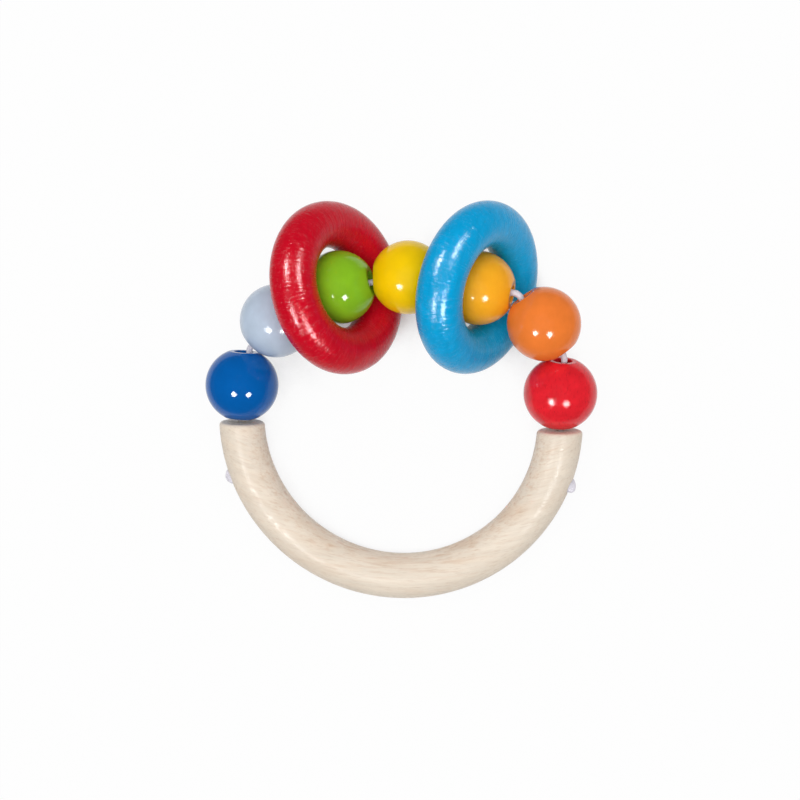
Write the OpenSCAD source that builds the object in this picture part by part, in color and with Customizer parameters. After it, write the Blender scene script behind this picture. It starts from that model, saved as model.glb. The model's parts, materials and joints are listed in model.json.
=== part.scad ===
// Wooden bead rattle: a half-ring handle, closed by a string of round beads on an elastic cord.
// Two of the beads carry a loose wooden ring.
// It lies as it does on a table. +Z is up, the bow of the handle points to -Y, and the origin is
// under the middle of the toy, on the table.

/* [Handle] */
// Outer diameter of the half ring
handle_od = 99.5; // [91:0.5:110]
// Diameter of the round bar that the handle is turned to
handle_bar_d = 12.4; // [10:0.2:15]
// How far the flat ends lie short of a full half circle
handle_end_drop = 2; // [0.5:0.5:6]
// Chamfer round the rim of each flat end
handle_rim = 0.6; // [0.2:0.1:1.2]
// Lean of the handle, up from the table towards the beads, in degrees
handle_tilt = 9.7; // [6:0.1:13]

/* [Beads] */
// Diameter of every bead
bead_d = 20; // [17:0.1:23]
// Diameter of the flats that a bead is cut to at both ends of its bore
bead_flat_d = 8; // [7:0.1:9]
// Bore of every bead
bead_bore_d = 5; // [4.6:0.1:5.4]
// Chamfer at both mouths of the bore
bead_mouth = 0.4; // [0.2:0.05:0.5]
// Gap between neighbouring beads
bead_gap = 0.12; // [0.05:0.01:0.6]
// Gap between the round side of an end bead, as the string swings, and the flat end of the handle
end_gap = 0.2; // [0.1:0.05:0.6]
// Height of the light blue bead above the line between its neighbours
light_blue_lift = -0.5; // [-3:0.1:3]
// Height of the yellow bead above the line between its neighbours
yellow_lift = 0.9; // [-3:0.1:3]
// Height of the orange bead above the line between its neighbours
orange_lift = 3.4; // [-3:0.1:4]

/* [Rings] */
// Diameter of the round bar that each ring is turned to
ring_bar_d = 12.6; // [10:0.1:14]
// Hole of each ring, over the bead that it hangs on
ring_play = 2.2; // [1.2:0.1:4]
// Gap between a bead and the ring that carries it
ring_seat_gap = 0.3; // [0.1:0.05:0.5]
// Lean of the red ring's axis, up from the table, in degrees
red_ring_lean = 33.5; // [20:0.5:36]
// Heading of the red ring's axis, from +X towards +Y, in degrees
red_ring_heading = 12; // [0:0.5:25]
// Lean of the blue ring's axis, up from the table, in degrees
blue_ring_lean = 27.5; // [15:0.5:30]
// Heading of the blue ring's axis, from +X towards +Y, in degrees
blue_ring_heading = -13.5; // [-25:0.5:0]

/* [Cord] */
// Diameter of the elastic cord
cord_d = 1.7; // [1:0.1:2]
// Hole in the handle that the cord is drawn through
cord_hole_d = 2.4; // [2.2:0.1:4]
// Where the hole leaves the outside of the handle, below the ring's diameter, in degrees
cord_exit_angle = 22; // [15:0.5:35]
// Diameter of the knot at each end of the cord
knot_d = 4.4; // [3:0.1:6]
// How far the middle of a knot sits below the outside of the handle
knot_depth = 0.8; // [0.2:0.1:1.5]
// Gap between a knot and its seat
knot_gap = 0.15; // [0.05:0.05:0.4]

/* [Hidden] */
$fn = 96;

// Places of the beads along the string, from the left end of the handle to the right
BLUE = 0;
LIGHT_BLUE = 1;
GREEN = 2;
YELLOW = 3;
AMBER = 4;
ORANGE = 5;
RED = 6;
BEADS = [BLUE:RED];
LINKS = [BLUE:RED - 1];

// Heading of each link of the string before it is fitted to the handle, in degrees
link_heading = [62, 29, 10, -6, -26, -74];
// Where each bore first points: 0 is along the link before the bead, and 1 along the link after it
bore_share = [0.2, 0.6, 1, 0, 0.1, 0.55, 0.7];
// Rounds in which the cord draws the bores into line
draw_rounds = 3;
// Halvings of the search that fits the string to the handle
fit_steps = 40;
// Least and most that the headings are spread to fit
fit_range = [0.1, 2];
// Rounds in which the beads close up on each other
settle_rounds = 8;

function unit(v) = v / norm(v);
function mix(a, b, share) = a + (b - a) * share;
function across(v, axis) = v - axis * (v * axis);
function total(vectors) = [for (v = vectors) 1] * vectors;

// Handle, in its own plane: the centre of its circle is at the origin
handle_bar_r = handle_bar_d / 2;
handle_r = handle_od / 2 - handle_bar_r;
end_x = sqrt(handle_r * handle_r - handle_end_drop * handle_end_drop);
handle_z = handle_bar_r + handle_r * sin(handle_tilt);
handle_end_dir = [0, cos(handle_tilt), sin(handle_tilt)];

function on_handle(p) = [p.x, p.y * cos(handle_tilt), handle_z + p.y * sin(handle_tilt)];
// Where the cord leaves the handle, in the middle of one flat end, and enters it in the other
handle_mouth = [on_handle([-end_x, -handle_end_drop]), on_handle([end_x, -handle_end_drop])];

// Rings, each leaning on the table and carrying its bead
bead_r = bead_d / 2;
ring_bar_r = ring_bar_d / 2;
ring_r = (bead_d + ring_play) / 2 + ring_bar_r;
ring_seat = ring_play / 2 - ring_seat_gap;

function ring_axis(lean, heading) = [cos(lean) * cos(heading), cos(lean) * sin(heading), sin(lean)];
function carried_height(lean) = ring_bar_r + (ring_r - ring_seat) * cos(lean);

red_ring_axis = ring_axis(red_ring_lean, red_ring_heading);
blue_ring_axis = ring_axis(blue_ring_lean, blue_ring_heading);
green_height = carried_height(red_ring_lean);
amber_height = carried_height(blue_ring_lean);

// Heights of the beads: the handle carries the end ones, the rings carry two, the rest hang between
string_start = on_handle([-end_x, bead_r + end_gap - handle_end_drop]);
bead_height = [
    string_start.z,
    mix(string_start.z, green_height, 0.5) + light_blue_lift,
    green_height,
    mix(green_height, amber_height, 0.5) + yellow_lift,
    amber_height,
    mix(amber_height, string_start.z, 0.5) + orange_lift,
    string_start.z,
];
link_rise = [for (i = LINKS) bead_height[i + 1] - bead_height[i]];

// Plan of the string: the headings are spread until the string just spans the handle
function links(runs, spread) =
    [for (i = LINKS) runs[i] * [cos(spread * link_heading[i]), sin(spread * link_heading[i])]];
function fitted_spread(runs, low, high, steps) =
    let (middle = (low + high) / 2)
    steps <= 0 ? middle
    : norm(total(links(runs, middle))) > 2 * end_x ? fitted_spread(runs, middle, high, steps - 1)
    : fitted_spread(runs, low, middle, steps - 1);

// Middles of the beads, from the length of each link
function string_places(pitches) =
    let (runs = [for (i = LINKS) sqrt(pitches[i] * pitches[i] - link_rise[i] * link_rise[i])])
    let (spread = fitted_spread(runs, fit_range[0], fit_range[1], fit_steps))
    let (span = total(links(runs, spread)))
    let (turn = atan2(span.y, span.x))
    let (headings = [for (heading = link_heading) spread * heading - turn])
    let (steps = [for (i = LINKS) [runs[i] * cos(headings[i]), runs[i] * sin(headings[i]), link_rise[i]]])
    [for (i = BEADS) i == BLUE ? string_start : string_start + total([for (k = [BLUE:i - 1]) steps[k]])];

// Directions of the links, with those of the handle's ends before and after them
function directions(at) =
    [handle_end_dir, for (i = LINKS) unit(at[i + 1] - at[i]), -handle_end_dir];
function first_axes(dirs) = [for (i = BEADS) unit(mix(dirs[i], dirs[i + 1], bore_share[i]))];

// Where the line of a bore meets the plane midway along a link
function midway(at, axis, link) = at + axis * (link * link) / (2 * (axis * link));
// Where the cord passes from piece to piece: at both ends of the handle, and between the beads
function bridges(at, axis) = [
    handle_mouth[0],
    for (i = LINKS)
    let (link = at[i + 1] - at[i])
    mix(midway(at[i], axis[i], link), midway(at[i + 1], axis[i + 1], -link), 0.5),
    handle_mouth[1],
];
function drawn_axes(at, axis, rounds) =
    let (bridge = bridges(at, axis))
    rounds <= 0 ? axis
    : drawn_axes(at, [for (i = BEADS) unit(bridge[i + 1] - bridge[i])], rounds - 1);

// How far a bead reaches in a direction whose angle to its bore has this cosine
flat_r = bead_flat_d / 2;
flat_z = sqrt(bead_r * bead_r - flat_r * flat_r);
function reach(c) =
    abs(c) < flat_z / bead_r ? bead_r : flat_z * abs(c) + flat_r * sqrt(max(0, 1 - c * c));

// The beads close up until flats, rims and round sides just clear each other
function settled(pitches, rounds) =
    let (at = string_places(pitches))
    let (dirs = directions(at))
    let (axis = drawn_axes(at, first_axes(dirs), draw_rounds))
    rounds <= 0 ? [at, axis]
    : settled(
        [for (i = LINKS) reach(axis[i] * dirs[i + 1]) + reach(axis[i + 1] * dirs[i + 1]) + bead_gap],
        rounds - 1
    );

string = settled([for (i = LINKS) bead_d + bead_gap], settle_rounds);
bead_at = string[0];
bead_axis = string[1];

// Rings: each is lifted in its own plane until it carries its bead
function ring_up(axis) = unit(across([0, 0, 1], axis));

red_ring_at = bead_at[GREEN] + ring_seat * ring_up(red_ring_axis);
blue_ring_at = bead_at[AMBER] + ring_seat * ring_up(blue_ring_axis);

// The origin is under the middle of the toy
function ring_reach(axis) = ring_r * sqrt(1 - axis.y * axis.y) + ring_bar_r;

back_y = max(red_ring_at.y + ring_reach(red_ring_axis), blue_ring_at.y + ring_reach(blue_ring_axis));
front_y = -handle_r * cos(handle_tilt) - handle_bar_r;
middle_y = (back_y + front_y) / 2;

// Cord through the beads: straight in each bore, and bent where it passes from bead to bead
cord_r = cord_d / 2;
bridge = bridges(bead_at, bead_axis);
// Points of the cord inside a bore, as shares of the way from one gap to the next
inside_shares = [0.2, 0.8];
// Share of the way through an end bead at which the string's cord begins
end_share = 0.03;
cord_points = [
    mix(bridge[BLUE], bridge[BLUE + 1], end_share),
    for (i = BEADS) each [
        for (share = inside_shares) mix(bridge[i], bridge[i + 1], share),
        mix(bridge[i + 1], bridge[i], i == RED ? end_share : 0),
    ],
];

// Smooth curve through a list of points
curve_steps = 3;
function curve_point(a, b, c, d, t) =
    b + (c - a) * t / 2 + (2 * a - 5 * b + 4 * c - d) * t * t / 2 + (3 * b - a - 3 * c + d) * t * t * t / 2;
function curve(points) =
    let (last = len(points) - 1)
    [
        for (i = [0:last - 1], k = [0:curve_steps - 1])
        let (before = points[max(0, i - 1)])
        let (after = points[min(last, i + 2)])
        curve_point(before, points[i], points[i + 1], after, k / curve_steps),
        points[last],
    ];

cord_path = curve(cord_points);
cord_sides = 8;

// Tube along a path that never stands upright
module tube(path, radius, sides) {
    last = len(path) - 1;
    rings = [
        for (i = [0:last])
        let (along = unit(path[min(last, i + 1)] - path[max(0, i - 1)]))
        let (side = unit(cross(along, [0, 0, 1])))
        let (up = cross(side, along))
        for (k = [0:sides - 1])
        path[i] + radius * (cos(360 * k / sides) * side + sin(360 * k / sides) * up),
    ];
    walls = [
        for (i = [0:last - 1], k = [0:sides - 1])
        let (next = (k + 1) % sides)
        each [
            [i * sides + k, (i + 1) * sides + k, (i + 1) * sides + next],
            [i * sides + k, (i + 1) * sides + next, i * sides + next],
        ],
    ];
    first_cap = [for (k = [1:sides - 2]) [0, k, k + 1]];
    last_cap = [for (k = [1:sides - 2]) [last * sides, last * sides + k + 1, last * sides + k]];
    polyhedron(rings, concat(first_cap, walls, last_cap));
}

module aim(axis) {
    rotate([0, acos(axis.z), atan2(axis.y, axis.x)]) children();
}

module centred() {
    translate([0, -middle_y, 0]) children();
}

module on_handle_plane() {
    centred() translate([0, 0, handle_z]) rotate([handle_tilt, 0, 0]) children();
}

// Cord hole, in the plane of the handle: straight from the middle of a flat end to the outside
hole_start = [-end_x, -handle_end_drop, 0];
hole_exit = -handle_od / 2 * [cos(cord_exit_angle), sin(cord_exit_angle), 0];
hole_dir = unit(hole_exit - hole_start);
knot_at = hole_exit - hole_dir * knot_depth / (hole_dir * unit(hole_exit));
hole_length = norm(knot_at - hole_start);
// Length by which a cutter stands clear of the face that it cuts
cut_over = 1;

module both_ends() {
    children();
    mirror([1, 0, 0]) children();
}

module cord_hole() {
    translate(hole_start) aim(hole_dir) {
        translate([0, 0, -cut_over]) cylinder(d = cord_hole_d, h = hole_length + cut_over);
        translate([0, 0, hole_length]) sphere(d = knot_d + 2 * knot_gap);
    }
}

module rim_cut() {
    outer = handle_bar_r + cut_over;
    inner = handle_bar_r - handle_rim - cut_over;
    translate([-end_x, -handle_end_drop, 0]) rotate([-90, 0, 0]) rotate_extrude()
        polygon([[inner, cut_over], [outer, -handle_rim - cut_over], [outer, cut_over]]);
}

module handle() {
    color("#e7d9c7") on_handle_plane() difference() {
        rotate([0, 0, 180]) rotate_extrude(angle = 180) translate([handle_r, 0]) circle(d = handle_bar_d);
        translate([-handle_od, -handle_end_drop, -handle_bar_d])
            cube([2 * handle_od, handle_od, 2 * handle_bar_d]);
        both_ends() {
            rim_cut();
            cord_hole();
        }
    }
}

bore_r = bead_bore_d / 2;

module bead(i) {
    centred() translate(bead_at[i]) aim(bead_axis[i]) difference() {
        intersection() {
            sphere(d = bead_d);
            cylinder(d = 2 * bead_d, h = 2 * flat_z, center = true);
        }
        cylinder(d = bead_bore_d, h = 2 * bead_d, center = true);
        for (side = [0, 1]) mirror([0, 0, side]) translate([0, 0, flat_z - bead_mouth])
            cylinder(r1 = bore_r, r2 = bore_r + bead_mouth + cut_over, h = bead_mouth + cut_over);
    }
}

module ring(place, axis) {
    centred() translate(place) aim(axis) rotate_extrude() translate([ring_r, 0]) circle(d = ring_bar_d);
}

module knot() {
    on_handle_plane() translate(hole_start) aim(hole_dir) {
        cylinder(d = cord_d, h = hole_length);
        translate([0, 0, hole_length]) sphere(d = knot_d);
    }
}

module blue_bead() {
    color("#035ba8") bead(BLUE);
}

module light_blue_bead() {
    color("#bccbdd") bead(LIGHT_BLUE);
}

module green_bead() {
    color("#83b925") bead(GREEN);
}

module yellow_bead() {
    color("#f4c806") bead(YELLOW);
}

module amber_bead() {
    color("#f5a522") bead(AMBER);
}

module orange_bead() {
    color("#ef7b31") bead(ORANGE);
}

module red_bead() {
    color("#e02033") bead(RED);
}

module red_ring() {
    color("#cc1a30") ring(red_ring_at, red_ring_axis);
}

module blue_ring() {
    color("#12a4da") ring(blue_ring_at, blue_ring_axis);
}

module bead_cord() {
    color("#e4e0ea") centred() tube(cord_path, cord_r, cord_sides);
}

module left_knot() {
    color("#e4e0ea") knot();
}

module right_knot() {
    color("#e4e0ea") mirror([1, 0, 0]) knot();
}

handle();
blue_bead();
light_blue_bead();
green_bead();
yellow_bead();
amber_bead();
orange_bead();
red_bead();
red_ring();
blue_ring();
bead_cord();
left_knot();
right_knot();
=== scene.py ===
# Wooden bead rattle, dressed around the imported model. Lengths are in metres.
import json
import math

import bmesh
import bpy
from mathutils import Matrix, Vector


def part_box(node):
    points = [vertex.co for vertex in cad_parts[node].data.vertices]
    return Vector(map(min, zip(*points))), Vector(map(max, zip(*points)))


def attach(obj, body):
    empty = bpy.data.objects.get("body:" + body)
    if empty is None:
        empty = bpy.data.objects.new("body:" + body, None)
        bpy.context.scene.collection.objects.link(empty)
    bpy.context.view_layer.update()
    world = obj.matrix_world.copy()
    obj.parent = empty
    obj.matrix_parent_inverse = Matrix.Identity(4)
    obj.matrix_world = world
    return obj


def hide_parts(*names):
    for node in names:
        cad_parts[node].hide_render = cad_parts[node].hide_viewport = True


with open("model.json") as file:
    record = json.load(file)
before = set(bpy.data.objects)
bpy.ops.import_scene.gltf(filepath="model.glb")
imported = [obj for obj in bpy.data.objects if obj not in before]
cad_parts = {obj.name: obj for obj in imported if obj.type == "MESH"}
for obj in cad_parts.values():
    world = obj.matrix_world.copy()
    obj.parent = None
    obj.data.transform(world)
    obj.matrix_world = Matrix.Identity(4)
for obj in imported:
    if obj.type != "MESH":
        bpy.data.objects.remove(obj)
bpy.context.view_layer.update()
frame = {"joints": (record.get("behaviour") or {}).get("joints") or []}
joints = {joint["name"]: joint for joint in frame["joints"]}

MM = 0.001
UP = Vector((0, 0, 1))
LEFT = -1
RIGHT = 1

# Handle: a round bar bent to a half circle, which leans up from the table towards the beads
HANDLE_R = 43.55 * MM
HANDLE_BAR_R = 6.2 * MM
HANDLE_TILT = math.radians(9.7)
HANDLE_END_DROP = 2 * MM
HANDLE_RIM_R = 0.9 * MM

# Beads: round, with a flat and a rounded mouth at both ends of the bore
BEADS = ["blue", "light_blue", "green", "yellow", "amber", "orange", "red"]
BEAD_R = 10 * MM
FLAT_R = 4 * MM
FLAT_RIM_R = 1.1 * MM
BORE_R = 2.5 * MM
MOUTH_R = 0.4 * MM

# Rings: each leans on the table and carries one bead
RING_R = 17.4 * MM
RING_BAR_R = 6.3 * MM

# Elastic cord, drawn through the beads and knotted in both holes of the handle
CORD_R = 0.85 * MM
CORD_HOLE_R = 1.2 * MM
CORD_EXIT_ANGLE = math.radians(22)
KNOT_R = 2.2 * MM
KNOT_DEPTH = 0.8 * MM
KNOT_GAP = 0.15 * MM

COLOURS = {
    "handle": "#e9dccb",
    "blue": "#035caa",
    "light_blue": "#bccbdd",
    "green": "#86bc24",
    "yellow": "#f8cb05",
    "amber": "#feae24",
    "orange": "#f17f34",
    "red": "#ea2531",
    "red_ring": "#cb0622",
    "blue_ring": "#02a2db",
    "elastic": "#e4e0ea",
}


def linear(hex_colour, gain=1.0):
    """A written sRGB colour as linear RGBA, times a gain."""
    shares = [int(hex_colour[i:i + 2], 16) / 255 for i in (1, 3, 5)]
    values = [s / 12.92 if s < 0.04045 else ((s + 0.055) / 1.055) ** 2.4 for s in shares]
    return [min(1, gain * value) for value in values] + [1]


# Materials. A span holds the noise values where a mark starts and where it is full.
NOISE_SPAN = (0.3, 0.7)


def node(tree, kind, inputs, output=0, **settings):
    """Adds a shader node, sets or links its inputs, and returns one of its outputs."""
    made = tree.nodes.new("ShaderNode" + kind)
    for name, value in settings.items():
        setattr(made, name, value)
    for name, value in inputs.items():
        if isinstance(value, bpy.types.NodeSocket):
            tree.links.new(value, made.inputs[name])
        else:
            made.inputs[name].default_value = value
    return made.outputs[output]


def connect(tree, shader, sources):
    """Links outputs of nodes to the shader's sockets."""
    for socket, source in sources.items():
        tree.links.new(source, shader.inputs[socket])


def blank_material(name, constants):
    """A material with these constants, its tree, its shader and the coordinates of the piece."""
    material = bpy.data.materials.new(name)
    material.use_nodes = True
    tree = material.node_tree
    shader = tree.nodes["Principled BSDF"]
    for socket, value in constants.items():
        shader.inputs[socket].default_value = value
    return material, tree, shader, node(tree, "TexCoord", {}, output="Object")


def noise(tree, place, size, detail=2.0, roughness=0.5):
    """Soft noise with features of a size in metres."""
    inputs = {"Vector": place, "Scale": 1 / size, "Detail": detail, "Roughness": roughness}
    return node(tree, "TexNoise", inputs)


def stretched(tree, place, stretch):
    """Coordinates drawn out along X by a factor."""
    return node(tree, "Mapping", {"Vector": place, "Scale": (1 / stretch, 1, 1)})


def ramp(tree, value, span, ends=(0, 1)):
    """Maps a value from a span to two ends, and stops there."""
    inputs = {"Value": value}
    inputs["From Min"], inputs["From Max"] = span
    inputs["To Min"], inputs["To Max"] = ends
    return node(tree, "MapRange", inputs)


def figure(tree, place, stretch, size, span=NOISE_SPAN, ends=(0, 1), **kind):
    """Marks in the wood, drawn out along X."""
    return ramp(tree, noise(tree, stretched(tree, place, stretch), size, **kind), span, ends)


def blend_colour(tree, share, first, second):
    """The first colour, blended into the second by a share."""
    return node(tree, "Mix", {0: share, 6: first, 7: second}, output=2, data_type="RGBA")


def blend_value(tree, share, first, second):
    """The first value, blended into the second by a share."""
    return node(tree, "Mix", {0: share, 2: first, 3: second})


def toned(tree, share, colour, dark, light):
    """A colour between a darker and a lighter tone of itself, given as gains."""
    return blend_colour(tree, share, linear(colour, dark), linear(colour, light))


def product(tree, first, second):
    """One value times another."""
    return node(tree, "Math", {0: first, 1: second}, operation="MULTIPLY")


def bump(tree, height, distance, strength=1.0, under=None):
    """A normal that follows the slopes of a height, on top of another normal if there is one."""
    inputs = {"Height": height, "Distance": distance, "Strength": strength}
    if under is not None:
        inputs["Normal"] = under
    return node(tree, "Bump", inputs)


LACQUER_IOR = 1.34
LACQUER_ROUGHNESS_SHARES = (0.8, 1.2)
LACQUER_DARK = 0.96
LACQUER_LIGHT = 1.04
GRAIN_SHADE = 0.3
TICK_TONE = 0.55


def lacquer(name, colour, roughness, peel, grain):
    """Opaque gloss lacquer: faint mottling, orange peel, and some grain that shows through."""
    material, tree, shader, place = blank_material(name, {"IOR": LACQUER_IOR})
    mottle = ramp(tree, noise(tree, place, size=4 * MM, detail=3), NOISE_SPAN)
    ticks = figure(tree, place, stretch=0.25, size=1.4 * MM, span=(0.56, 0.72), ends=(0, grain))
    coat = toned(tree, mottle, colour, LACQUER_DARK - GRAIN_SHADE * grain, LACQUER_LIGHT)
    shown = blend_colour(tree, ticks, coat, linear(colour, TICK_TONE))
    fine = noise(tree, place, size=0.5 * MM)
    rough = ramp(tree, fine, NOISE_SPAN, [roughness * share for share in LACQUER_ROUGHNESS_SHARES])
    waves = bump(tree, noise(tree, place, size=2.5 * MM, detail=1), distance=0.03 * MM, strength=peel)
    normal = bump(tree, fine, distance=0.02 * MM, strength=peel, under=waves)
    connect(tree, shader, {"Base Color": shown, "Roughness": rough, "Normal": normal})
    return material


def own_place(tree, place, seat):
    """Coordinates in the frame that a piece was turned in."""
    own = seat.inverted()
    turned = {"Vector": place, "Location": own.to_translation(), "Rotation": own.to_euler()}
    return node(tree, "Mapping", turned)


STAIN_IOR = 1.36
STAIN_STRETCH = 9
PORE_SHARE = 0.25
PORE_TONE = 0.6
GLOSS_SPAN = (0.4, 0.6)
DULL_SHARES = (0.6, 1)
MARK_ROUGHNESS = (0.13, 0.34)
MARK_DRIFT = 0.2


def stain(name, colour, seat):
    """Gloss stain on a turned ring: grain and pores show, and marks of the lathe break up the gloss."""
    material, tree, shader, place = blank_material(name, {"IOR": STAIN_IOR})
    local = own_place(tree, place, seat)
    bands = figure(tree, local, STAIN_STRETCH, size=1.6 * MM, detail=4, roughness=0.6)
    pores = figure(tree, local, STAIN_STRETCH, size=0.35 * MM, span=(0.56, 0.7), detail=3, roughness=0.65)
    coat = toned(tree, bands, colour, dark=0.9, light=1.07)
    shown = blend_colour(tree, product(tree, pores, PORE_SHARE), coat, linear(colour, PORE_TONE))
    dull = noise(tree, place, size=0.9 * MM, detail=3, roughness=0.6)
    marks = noise(tree, around_ring(tree, local), size=0.45 * MM)
    uneven = ramp(tree, dull, GLOSS_SPAN, DULL_SHARES)
    rough = product(tree, uneven, ramp(tree, marks, GLOSS_SPAN, MARK_ROUGHNESS))
    pits = bump(tree, pores, distance=-0.03 * MM, strength=0.6)
    chatter = bump(tree, marks, distance=0.13 * MM, under=pits)
    normal = bump(tree, dull, distance=0.05 * MM, strength=0.8, under=chatter)
    connect(tree, shader, {"Base Color": shown, "Roughness": rough, "Normal": normal})
    return material


def around_ring(tree, local):
    """Coordinates that change round a ring and hardly across its bar."""
    x, y, z = node(tree, "SeparateXYZ", {"Vector": local}).node.outputs
    level = node(tree, "CombineXYZ", {"X": x, "Y": y})
    spoke = node(tree, "VectorMath", {0: level}, operation="NORMALIZE")
    rim = node(tree, "VectorMath", {0: spoke, "Scale": RING_R}, operation="SCALE")
    lift = node(tree, "CombineXYZ", {"Z": product(tree, z, MARK_DRIFT)})
    return node(tree, "VectorMath", {0: rim, 1: lift}, operation="ADD")


BEECH_IOR = 1.23
BEECH_ROUGHNESS = (0.23, 0.5)
GRAIN_SAG = 4.0
INSIDE_SPAN = (HANDLE_R - 5 * MM, HANDLE_R + 2 * MM)
OUTSIDE_SHARE = 0.35
ROSY_COLOUR = "#d9bda1"
ROSY_SHARE = 0.45
STREAK_COLOUR = "#cba482"
STREAK_SHARE = 0.5
RAY_COLOUR = "#b08c6c"
RAY_SHARE = 0.18


def bent_grain(tree, local):
    """Coordinates whose X runs along the grain, which sags like the bow but less."""
    x, y, z = node(tree, "SeparateXYZ", {"Vector": local}).node.outputs
    sag = product(tree, product(tree, x, x), -GRAIN_SAG)
    level = node(tree, "Math", {0: y, 1: sag}, operation="ADD")
    return node(tree, "CombineXYZ", {"X": x, "Y": level, "Z": z})


def beech(name, colour, seat):
    """Oiled beech: soft bands, short dark rays, and rosy streaks that gather inside the bow."""
    material, tree, shader, place = blank_material(name, {"IOR": BEECH_IOR})
    local = own_place(tree, place, seat)
    away = node(tree, "VectorMath", {0: local}, output="Value", operation="LENGTH")
    inside = ramp(tree, away, INSIDE_SPAN, (1, OUTSIDE_SHARE))
    grain = bent_grain(tree, local)
    bands = figure(tree, grain, stretch=9, size=2.4 * MM, detail=4, roughness=0.6)
    streaks = figure(tree, grain, stretch=12, size=0.8 * MM, span=(0.5, 0.7), detail=3, roughness=0.6)
    rosy = figure(tree, grain, stretch=4, size=5 * MM, span=(0.44, 0.7))
    rays = figure(tree, grain, stretch=8, size=0.45 * MM, span=(0.58, 0.7))
    pale = toned(tree, bands, colour, dark=0.93, light=1.04)
    warmed = product(tree, product(tree, rosy, inside), ROSY_SHARE)
    warm = blend_colour(tree, warmed, pale, linear(ROSY_COLOUR))
    marked = product(tree, product(tree, streaks, inside), STREAK_SHARE)
    streaked = blend_colour(tree, marked, warm, linear(STREAK_COLOUR))
    shown = blend_colour(tree, product(tree, rays, RAY_SHARE), streaked, linear(RAY_COLOUR))
    fine = noise(tree, stretched(tree, grain, stretch=3), size=0.5 * MM, detail=3)
    rough = ramp(tree, fine, span=(0.42, 0.56), ends=BEECH_ROUGHNESS)
    normal = bump(tree, fine, distance=0.06 * MM)
    connect(tree, shader, {"Base Color": shown, "Roughness": rough, "Normal": normal})
    return material


def elastic(name, colour):
    """Woven sleeve of the elastic."""
    material, tree, shader, place = blank_material(name, {"Roughness": 0.7, "Sheen Weight": 0.3})
    threads = noise(tree, place, size=0.2 * MM)
    shown = toned(tree, ramp(tree, threads, NOISE_SPAN), colour, dark=0.86, light=1.05)
    normal = bump(tree, threads, distance=0.03 * MM, strength=0.6)
    connect(tree, shader, {"Base Color": shown, "Normal": normal})
    return material


# Meshes


def new_object(name, data):
    """Puts a new object into the scene."""
    made = bpy.data.objects.new(name, data)
    bpy.context.scene.collection.objects.link(made)
    return made


def new_mesh(name, points, faces):
    """A mesh of points and faces."""
    mesh = bpy.data.meshes.new(name)
    mesh.from_pydata(points, [], faces)
    return mesh


def piece(name, points, faces, material, body, nodes, place=Matrix.Identity(4)):
    """A smooth mesh that rides on a body and stands for CAD nodes."""
    mesh = new_mesh(name, points, faces)
    mesh.transform(place)
    mesh.shade_smooth()
    mesh.materials.append(material)
    made = new_object(name, mesh)
    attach(made, body)
    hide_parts(*nodes)
    return made


def grid_faces(rows, columns, closed_rows):
    """Quads of a grid whose columns close on themselves, and whose rows may too."""
    faces = []
    for row in range(rows if closed_rows else rows - 1):
        after = (row + 1) % rows
        for column in range(columns):
            beside = (column + 1) % columns
            faces.append((row * columns + column, row * columns + beside,
                          after * columns + beside, after * columns + column))
    return faces


def capped_faces(rows, columns):
    """Quads of a grid that is open at its first and last rows, with a cap on each of them."""
    last = (rows - 1) * columns
    caps = [tuple(reversed(range(columns))), tuple(range(last, last + columns))]
    return grid_faces(rows, columns, False) + caps


def arc(centre, radius, start, end, steps):
    """Points of an arc in the (r, z) plane, from one angle to another."""
    angles = [start + (end - start) * step / steps for step in range(steps + 1)]
    return [(centre[0] + radius * math.cos(a), centre[1] + radius * math.sin(a)) for a in angles]


def lathe(profile, sides):
    """Turns a profile of (r, z) points about the Z axis."""
    turns = [2 * math.pi * side / sides for side in range(sides)]
    return [(r * math.cos(a), r * math.sin(a), z) for r, z in profile for a in turns]


def tube(path, radius, sides, relief):
    """Points and faces of a closed round tube along a path, with a relief on its surface."""
    points = []
    side = (path[1] - path[0]).orthogonal().normalized()
    along = 0.0
    for i, here in enumerate(path):
        ahead = (path[min(i + 1, len(path) - 1)] - path[max(i - 1, 0)]).normalized()
        side = (side - ahead * side.dot(ahead)).normalized()
        other = ahead.cross(side)
        along += (here - path[i - 1]).length if i else 0
        for k in range(sides):
            angle = 2 * math.pi * k / sides
            reach = radius + relief(along, angle)
            points.append(here + reach * (math.cos(angle) * side + math.sin(angle) * other))
    return points, capped_faces(len(path), sides)


def smooth_path(points, steps):
    """A Catmull-Rom curve through the points."""
    path = []
    last = len(points) - 1
    for i in range(last):
        a, b, c, d = (points[min(last, max(0, i + k))] for k in (-1, 0, 1, 2))
        for step in range(steps):
            t = step / steps
            path.append(b + (c - a) * (t / 2) + (2 * a - 5 * b + 4 * c - d) * (t * t / 2)
                        + (3 * b - a - 3 * c + d) * (t ** 3 / 2))
    return path + [points[last]]


def aimed(place, axis, towards=UP):
    """Places a piece whose Z axis is to point along an axis, with its X axis towards a direction."""
    z = axis.normalized()
    x = (towards - z * towards.dot(z)).normalized()
    y = z.cross(x)
    turn = Matrix((x, y, z)).transposed().to_4x4()
    return Matrix.Translation(place) @ turn


# Beads
BEAD_SIDES = 96
MOUTH_STEPS = 6
FLAT_RIM_STEPS = 8
ROUND_STEPS = 28


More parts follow.
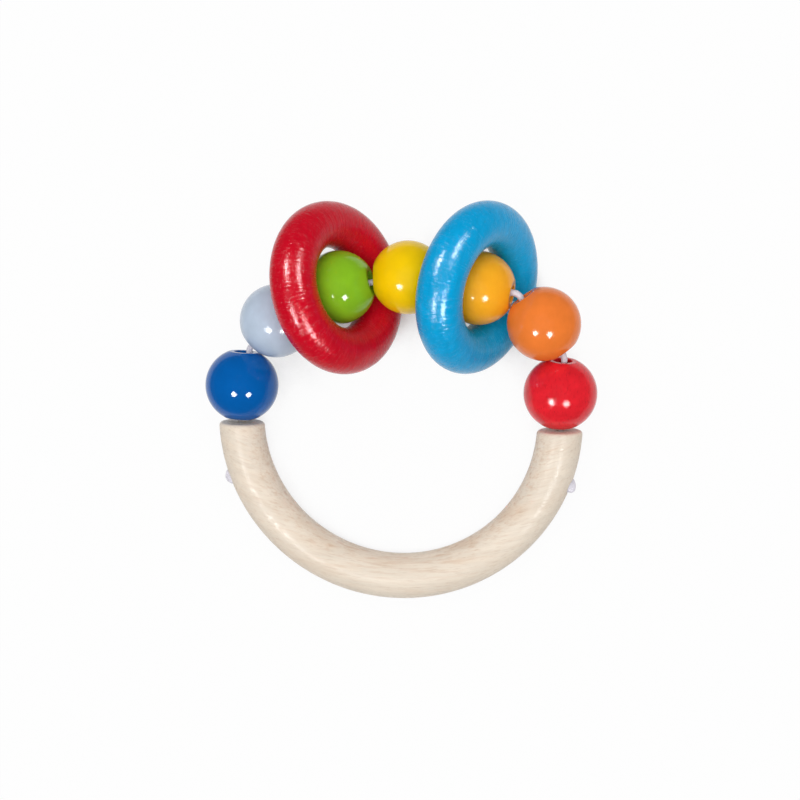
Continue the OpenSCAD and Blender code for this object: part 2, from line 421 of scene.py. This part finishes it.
def bead_profile():
    """Half section of a bead: its bore, mouths, flats and round side, as a closed outline."""
    flat_z = math.sqrt(BEAD_R ** 2 - FLAT_R ** 2)
    rim_z = flat_z - FLAT_RIM_R
    rim_r = math.sqrt((BEAD_R - FLAT_RIM_R) ** 2 - rim_z ** 2)
    rim_angle = math.atan2(rim_z, rim_r)
    mouth_at = (BORE_R + MOUTH_R, flat_z - MOUTH_R)
    mouth = arc(mouth_at, MOUTH_R, math.pi, math.pi / 2, MOUTH_STEPS)
    rim = arc((rim_r, rim_z), FLAT_RIM_R, math.pi / 2, rim_angle, FLAT_RIM_STEPS)
    round_side = arc((0, 0), BEAD_R, rim_angle, 0, ROUND_STEPS)
    upper = mouth + rim + round_side[1:]
    lower = [(r, -z) for r, z in upper]
    return lower + upper[-2::-1]


# Roughness, strength of the orange peel, and how much of the grain shows
BEAD_FINISH = {
    "blue": (0.06, 0.4, 0.0),
    "light_blue": (0.12, 0.9, 0.05),
    "green": (0.09, 0.8, 0.05),
    "yellow": (0.13, 0.8, 0.05),
    "amber": (0.13, 0.8, 0.05),
    "orange": (0.12, 0.9, 0.05),
    "red": (0.08, 2.6, 0.45),
}
profile = bead_profile()
bead_points = lathe(profile, BEAD_SIDES)
bead_faces = grid_faces(len(profile), BEAD_SIDES, True)
bead_at = [Vector(joints[name + "_bead_spin"]["pos_m"]) for name in BEADS]
bead_axis = [Vector(joints[name + "_bead_spin"]["axis"]) for name in BEADS]

for name, at, axis in zip(BEADS, bead_at, bead_axis):
    finish = lacquer(name + "_lacquer", COLOURS[name], *BEAD_FINISH[name])
    label = name + "_bead"
    piece("turned_" + label, bead_points, bead_faces, finish, label, [label],
          aimed(at, axis))

# Rings
RING_TURNS = 160
RING_SIDES = 64
ring_profile = arc((RING_R, 0), RING_BAR_R, 0, 2 * math.pi * (1 - 1 / RING_SIDES), RING_SIDES - 1)
ring_points = lathe(ring_profile, RING_TURNS)
ring_faces = grid_faces(RING_SIDES, RING_TURNS, True)

turned_rings = []
for name in ("red_ring", "blue_ring"):
    low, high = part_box(name)
    swing = Vector(joints[name + "_tilt"]["axis"])
    lean = math.acos(((high.z - low.z) / 2 - RING_BAR_R) / RING_R)
    axis = math.cos(lean) * swing.cross(UP) + math.sin(lean) * UP
    place = aimed((low + high) / 2, axis, swing)
    finish = stain(name + "_stain", COLOURS[name], place)
    made = piece("turned_" + name, ring_points, ring_faces, finish, name, [name],
                 place)
    turned_rings.append(made)

# Handle, in its own plane: the centre of its circle is at the origin, and its bow points to -Y
HANDLE_TURNS = 200
HANDLE_SIDES = 64
HANDLE_RIM_STEPS = 6


def bar_ring(drop, radius, side):
    """Ring of points round the bar, where a plane below the ring's diameter cuts it."""
    ring = []
    for k in range(HANDLE_SIDES):
        turn = 2 * math.pi * k / HANDLE_SIDES
        reach = HANDLE_R + radius * math.cos(turn)
        across = side * math.sqrt(reach ** 2 - drop ** 2)
        ring.append(Vector((across, -drop, radius * math.sin(turn))))
    return ring


def rim_ring(step, side):
    """One of the rings that round off the rim of a flat end."""
    angle = math.pi / 2 * step / HANDLE_RIM_STEPS
    drop = HANDLE_END_DROP + HANDLE_RIM_R * (1 - math.cos(angle))
    return bar_ring(drop, HANDLE_BAR_R - HANDLE_RIM_R * (1 - math.sin(angle)), side)


def bow_ring(share):
    """Ring of points round the bar, at a share of the way round the bow between the two rims."""
    ring = []
    for k in range(HANDLE_SIDES):
        turn = 2 * math.pi * k / HANDLE_SIDES
        reach = HANDLE_R + HANDLE_BAR_R * math.cos(turn)
        start = math.asin((HANDLE_END_DROP + HANDLE_RIM_R) / reach)
        angle = -start - share * (math.pi - 2 * start)
        height = HANDLE_BAR_R * math.sin(turn)
        ring.append(Vector((reach * math.cos(angle), reach * math.sin(angle), height)))
    return ring


# The left cord hole, from the flat end to the seat of the knot
hole_start = Vector((-math.sqrt(HANDLE_R ** 2 - HANDLE_END_DROP ** 2), -HANDLE_END_DROP, 0))
exit_way = -Vector((math.cos(CORD_EXIT_ANGLE), math.sin(CORD_EXIT_ANGLE), 0))
hole_exit = (HANDLE_R + HANDLE_BAR_R) * exit_way
hole_way = (hole_exit - hole_start).normalized()
knot_at = hole_exit - hole_way * (KNOT_DEPTH / hole_way.dot(exit_way))
hole_length = (knot_at - hole_start).length
CUT_OVER = 1 * MM
CUT_SIDES = 48
SEAT_TOP = math.radians(85)
SEAT_STEPS = 24
WELD_REACH = 0.0002 * MM
SHARP_ANGLE = math.radians(40)


def on_side(of_left, side):
    """A place or direction of the left hole, or its mirror image for the right one."""
    return Vector((side * -of_left.x, of_left.y, 0))


def hole_cutter(side):
    """Points and faces of the drill for one cord hole, with the seat of its knot."""
    seat_r = KNOT_R + KNOT_GAP
    meet = math.acos(CORD_HOLE_R / seat_r)
    outline = [(CORD_HOLE_R, -CUT_OVER)]
    outline += arc((0, hole_length), seat_r, -meet, SEAT_TOP, SEAT_STEPS)
    place = aimed(on_side(hole_start, side), on_side(hole_way, side))
    points = [place @ Vector(point) for point in lathe(outline, CUT_SIDES)]
    return points, capped_faces(len(outline), CUT_SIDES)


def drilled(target):
    """Cuts both cord holes into the handle, and welds the seams of the cut."""
    points, faces = [], []
    for side in (LEFT, RIGHT):
        more_points, more_faces = hole_cutter(side)
        faces += [tuple(len(points) + i for i in face) for face in more_faces]
        points += more_points
    mesh = new_mesh("drills", points, faces)
    mesh.transform(handle_place)
    drills = new_object("drills", mesh)
    cut = target.modifiers.new("holes", "BOOLEAN")
    cut.operation = "DIFFERENCE"
    cut.solver = "EXACT"
    cut.object = drills
    graph = bpy.context.evaluated_depsgraph_get()
    target.data = bpy.data.meshes.new_from_object(target.evaluated_get(graph))
    target.modifiers.clear()
    bpy.data.objects.remove(drills)
    seams = bmesh.new()
    seams.from_mesh(target.data)
    bmesh.ops.remove_doubles(seams, verts=seams.verts, dist=WELD_REACH)
    seams.to_mesh(target.data)
    seams.free()
    target.data.shade_smooth()
    target.data.set_sharp_from_angle(angle=SHARP_ANGLE)


rings = [rim_ring(step, RIGHT) for step in range(HANDLE_RIM_STEPS + 1)]
rings += [bow_ring(turn / HANDLE_TURNS) for turn in range(1, HANDLE_TURNS)]
rings += [rim_ring(step, LEFT) for step in range(HANDLE_RIM_STEPS, -1, -1)]
bar_points = [point for ring in rings for point in ring]
bar_faces = capped_faces(len(rings), HANDLE_SIDES)

handle_low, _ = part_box("handle")
handle_middle = Vector((
    0,
    handle_low.y + HANDLE_BAR_R + HANDLE_R * math.cos(HANDLE_TILT),
    HANDLE_BAR_R + HANDLE_R * math.sin(HANDLE_TILT),
))
handle_place = Matrix.Translation(handle_middle) @ Matrix.Rotation(HANDLE_TILT, 4, "X")
bare_beech = beech("bare_beech", COLOURS["handle"], handle_place)
handle = piece("bent_handle", bar_points, bar_faces, bare_beech, "handle", ["handle"],
               handle_place)
drilled(handle)

# Elastic cord
CORD_SIDES = 32
CORD_STEPS = 30
BRAID_HEIGHT = 0.05 * MM
BRAID_STRANDS = 6
BRAID_PITCH = 3 * MM
END_SHARE = 0.03
# Where the cord runs straight inside each bead, as shares of the way from gap to gap
STRAIGHT_SHARES = (0.2, 0.8)
# How far the tight cord lies off the line of the bores, towards where each two beads touch
CORD_DRAWN = (1.35 * MM, 1.4 * MM, 1.1 * MM, 0.9 * MM, 0.5 * MM, 0.5 * MM)


def braid(along, angle):
    """Height of the woven sleeve's diamonds."""
    climb = 2 * math.pi * along / BRAID_PITCH
    turn = BRAID_STRANDS / 2 * angle
    return BRAID_HEIGHT * math.sin(turn + climb) * math.sin(turn - climb)


def midway(at, axis, link):
    """Where the line of a bore meets the plane midway along a link."""
    return at + axis * (link.length_squared / (2 * axis.dot(link)))


mouths = [handle_place @ on_side(hole_start, side) for side in (LEFT, RIGHT)]
bridges = [mouths[0]]
for i in range(len(BEADS) - 1):
    link = bead_at[i + 1] - bead_at[i]
    leaves = midway(bead_at[i], bead_axis[i], link)
    enters = midway(bead_at[i + 1], bead_axis[i + 1], -link)
    between = (leaves + enters) / 2
    touch = (bead_at[i] + bead_at[i + 1]) / 2
    bridges.append(between + CORD_DRAWN[i] * (touch - between).normalized())
bridges.append(mouths[1])

cord_points = [bridges[0].lerp(bridges[1], END_SHARE)]
for before, after in zip(bridges, bridges[1:]):
    cord_points += [before.lerp(after, share) for share in STRAIGHT_SHARES]
    cord_points.append(after)
cord_points[-1] = bridges[-1].lerp(bridges[-2], END_SHARE)

sleeve = elastic("woven_elastic", COLOURS["elastic"])
points, faces = tube(smooth_path(cord_points, CORD_STEPS), CORD_R, CORD_SIDES, braid)
piece("elastic_cord", points, faces, sleeve, "string", ["bead_cord"])

# Knots: an overhand knot in the seat of each hole, and the cord from it to the flat end
KNOT_STEPS = 120
KNOT_LOOP = 0.45 * MM
KNOT_RISE = 2.6
KNOT_CORE_R = 1.85 * MM
KNOT_ROWS = 40
KNOT_SIDES = 64
NECK_ROWS = 6
STUB_END = 0.99


def knot_path():
    """Closed loop of a drawn overhand knot, about the end of the hole."""
    path = []
    for step in range(KNOT_STEPS):
        t = 2 * math.pi * step / KNOT_STEPS
        path.append(KNOT_LOOP * Vector((
            math.sin(t) + 2 * math.sin(2 * t),
            math.cos(t) - 2 * math.cos(2 * t),
            -KNOT_RISE * math.sin(3 * t),
        )))
    return path


def knot_reach(way, path):
    """How far the knotted strand reaches in a direction."""
    reach = KNOT_CORE_R
    for point in path:
        along = way.dot(point)
        inside = CORD_R ** 2 - point.length_squared + along ** 2
        if inside > 0:
            reach = max(reach, along + math.sqrt(inside))
    return reach


def ring_way(slope, k):
    """Direction of one point of a ring, at a slope above the ring's plane."""
    turn = 2 * math.pi * k / KNOT_SIDES
    level = math.cos(slope)
    return Vector((level * math.cos(turn), level * math.sin(turn), math.sin(slope)))


def knotted_end(path):
    """Points and faces of the cord in its hole and of the closed outside of the knot on it."""
    points = []
    for depth in (hole_length * STUB_END, hole_length / 2, KNOT_R + KNOT_GAP):
        points += [CORD_R * ring_way(0, k) - depth * UP for k in range(KNOT_SIDES)]
    for row in range(NECK_ROWS, KNOT_ROWS):
        slope = math.pi * (row + 0.5) / KNOT_ROWS - math.pi / 2
        ways = [ring_way(slope, k) for k in range(KNOT_SIDES)]
        points += [knot_reach(way, path) * way for way in ways]
    return points, capped_faces(len(points) // KNOT_SIDES, KNOT_SIDES)


knot_points, knot_faces = knotted_end(knot_path())
for side, name in ((LEFT, "left_knot"), (RIGHT, "right_knot")):
    seat = aimed(on_side(knot_at, side), on_side(hole_way, side))
    half_turn = Matrix.Rotation(math.pi if side == LEFT else 0, 4, "Z")
    place = handle_place @ seat @ half_turn
    piece("tied_" + name, knot_points, knot_faces, sleeve, "handle", [name], place)

# Stage: a white table, four square lamps and soft light from overhead
WHITE = (1, 1, 1, 1)
WHITE_STRENGTH = 1.0
FLOOR_SIZE = 8.0
FLOOR_GLOW = 0.95
FLOOR_COLOUR = (0.75, 0.75, 0.75, 1)
# Painted contact shade: the table's glow fades where the toy hems it in, by ambient occlusion, so the
# grey matte shows there
SHADE_REACH = 0.03
SHADE_SPAN = (0.26, 0.46)
# Painted reflection: mirrored rays see the table glow at full strength within this span of the toy and
# dim beyond it
POOL_SPAN = (0.09, 0.12)
POOL_DARK = 0.1


def floor():
    """A white table that glows white, with painted contact shade where the toy hems it in, and which
    mirrored rays see as a painted pool of light round the toy.
    """
    half = FLOOR_SIZE / 2
    corners = [(-half, -half, 0), (half, -half, 0), (half, half, 0), (-half, half, 0)]
    mesh = new_mesh("table", corners, [(0, 1, 2, 3)])
    made = new_object("table", mesh)
    material = bpy.data.materials.new("white_table")
    material.use_nodes = True
    tree = material.node_tree
    tree.nodes.remove(tree.nodes["Principled BSDF"])
    matte = node(tree, "BsdfDiffuse", {"Color": FLOOR_COLOUR})
    place = node(tree, "TexCoord", {}, output="Object")
    away = node(tree, "VectorMath", {0: place}, output="Value", operation="LENGTH")
    # Painted reflection: mirrored rays see the table glow brightly only near the toy, a pool of light
    # that no lamp casts
    pool = ramp(tree, away, POOL_SPAN, (WHITE_STRENGTH, POOL_DARK))
    mirrored = node(tree, "LightPath", {}, output="Is Glossy Ray")
    strength = blend_value(tree, mirrored, WHITE_STRENGTH, pool)
    glow = node(tree, "Emission", {"Color": WHITE, "Strength": strength})
    # Painted contact shade: where ambient occlusion is low, under and next to the toy, the glow fades and
    # the grey matte with its shadow shows
    open_above = node(tree, "AmbientOcclusion", {"Distance": SHADE_REACH}, output="AO")
    glow_share_with_painted_shade = ramp(tree, open_above, SHADE_SPAN, (0, FLOOR_GLOW))
    share = product(tree, seen_share(tree), glow_share_with_painted_shade)
    shown = node(tree, "MixShader", {0: share, 1: matte, 2: glow})
    tree.links.new(shown, tree.nodes["Material Output"].inputs["Surface"])
    mesh.materials.append(material)


def seen_share(tree):
    """1 for rays that show the background: the camera's, mirrored ones and ones through glass."""
    camera = node(tree, "LightPath", {}, output="Is Camera Ray")
    mirrored = node(tree, "LightPath", {}, output="Is Glossy Ray")
    through = node(tree, "LightPath", {}, output="Is Transmission Ray")
    either = node(tree, "Math", {0: camera, 1: mirrored}, operation="MAXIMUM")
    return node(tree, "Math", {0: either, 1: through}, operation="MAXIMUM")


WORLD_FILL = 0.48
ROOM_DARK = 0.06


def surroundings():
    """A white room that lights the toy softly from all sides, and that mirrored rays see dim."""
    world = bpy.data.worlds.new("white_room")
    bpy.context.scene.world = world
    world.use_nodes = True
    tree = world.node_tree
    mirrored = node(tree, "LightPath", {}, output="Is Glossy Ray")
    shown = blend_value(tree, mirrored, WHITE_STRENGTH, ROOM_DARK)
    strength = blend_value(tree, seen_share(tree), WORLD_FILL, shown)
    background = tree.nodes["Background"]
    background.inputs["Color"].default_value = WHITE
    tree.links.new(strength, background.inputs["Strength"])


FRONT_LAMPS = {"front_left_lamp": (-0.32, -0.48, 0.82), "front_right_lamp": (0.41, -0.51, 0.75)}
BACK_LAMPS = {"back_left_lamp": (-0.42, 0.42, 0.8), "back_right_lamp": (0.5, 0.45, 0.74)}
LAMP_DISTANCE = 0.7
LAMP_SIZE = 0.17
LAMP_POWER = 5.2
LAMP_SIDE = Vector((1, 1, 0))
SOFT_HEIGHT = 1.0
SOFT_SIZE = 1.0
SOFT_POWER = 7.8


def area_lamp(name, way, distance, size, power):
    """A square lamp that faces the toy, standing on one corner."""
    light = bpy.data.lights.new(name, "AREA")
    light.shape = "SQUARE"
    light.size = size
    light.energy = power
    lamp = new_object(name, light)
    away = Vector(way).normalized()
    lamp.matrix_world = aimed(distance * away, away, LAMP_SIDE)
    return lamp


def lamps():
    """Four small lamps for the glints, the back two only on the rings, and a wide one overhead."""
    lit_rings = bpy.data.collections.new("lit_rings")
    for ring in turned_rings:
        lit_rings.objects.link(ring)
    for name, way in {**FRONT_LAMPS, **BACK_LAMPS}.items():
        lamp = area_lamp(name, way, LAMP_DISTANCE, LAMP_SIZE, LAMP_POWER)
        lamp.visible_diffuse = False
        if name in BACK_LAMPS:
            lamp.light_linking.receiver_collection = lit_rings
    area_lamp("soft_lamp", UP, SOFT_HEIGHT, SOFT_SIZE, SOFT_POWER).visible_glossy = False


# Camera: nearly overhead, at the photograph's angle
PHOTO_WIDTH = 800
SENSOR_WIDTH = 36
CAMERA_AIM = Vector((-0.56, 0.08, 10)) * MM
CAMERA_TO_RIGHT = math.radians(6.47)
CAMERA_TO_BACK = math.radians(-0.15)
CAMERA_ROLL = math.radians(1.52)
CAMERA_DISTANCE = 0.9
PIXELS_PER_METRE = 3663.0


def camera():
    """The camera, whose lens gives the photograph's scale at its distance."""
    view = bpy.data.cameras.new("camera")
    view.sensor_width = SENSOR_WIDTH
    view.lens = SENSOR_WIDTH * PIXELS_PER_METRE * CAMERA_DISTANCE / PHOTO_WIDTH
    made = new_object("camera", view)
    right = Vector((math.cos(CAMERA_ROLL), math.sin(CAMERA_ROLL), 0))
    away = Vector((math.sin(CAMERA_TO_RIGHT), math.sin(CAMERA_TO_BACK), 1)).normalized()
    made.matrix_world = aimed(CAMERA_AIM + CAMERA_DISTANCE * away, away, right)
    bpy.context.scene.camera = made


floor()
surroundings()
lamps()
camera()
bpy.context.scene.view_settings.view_transform = "Standard"
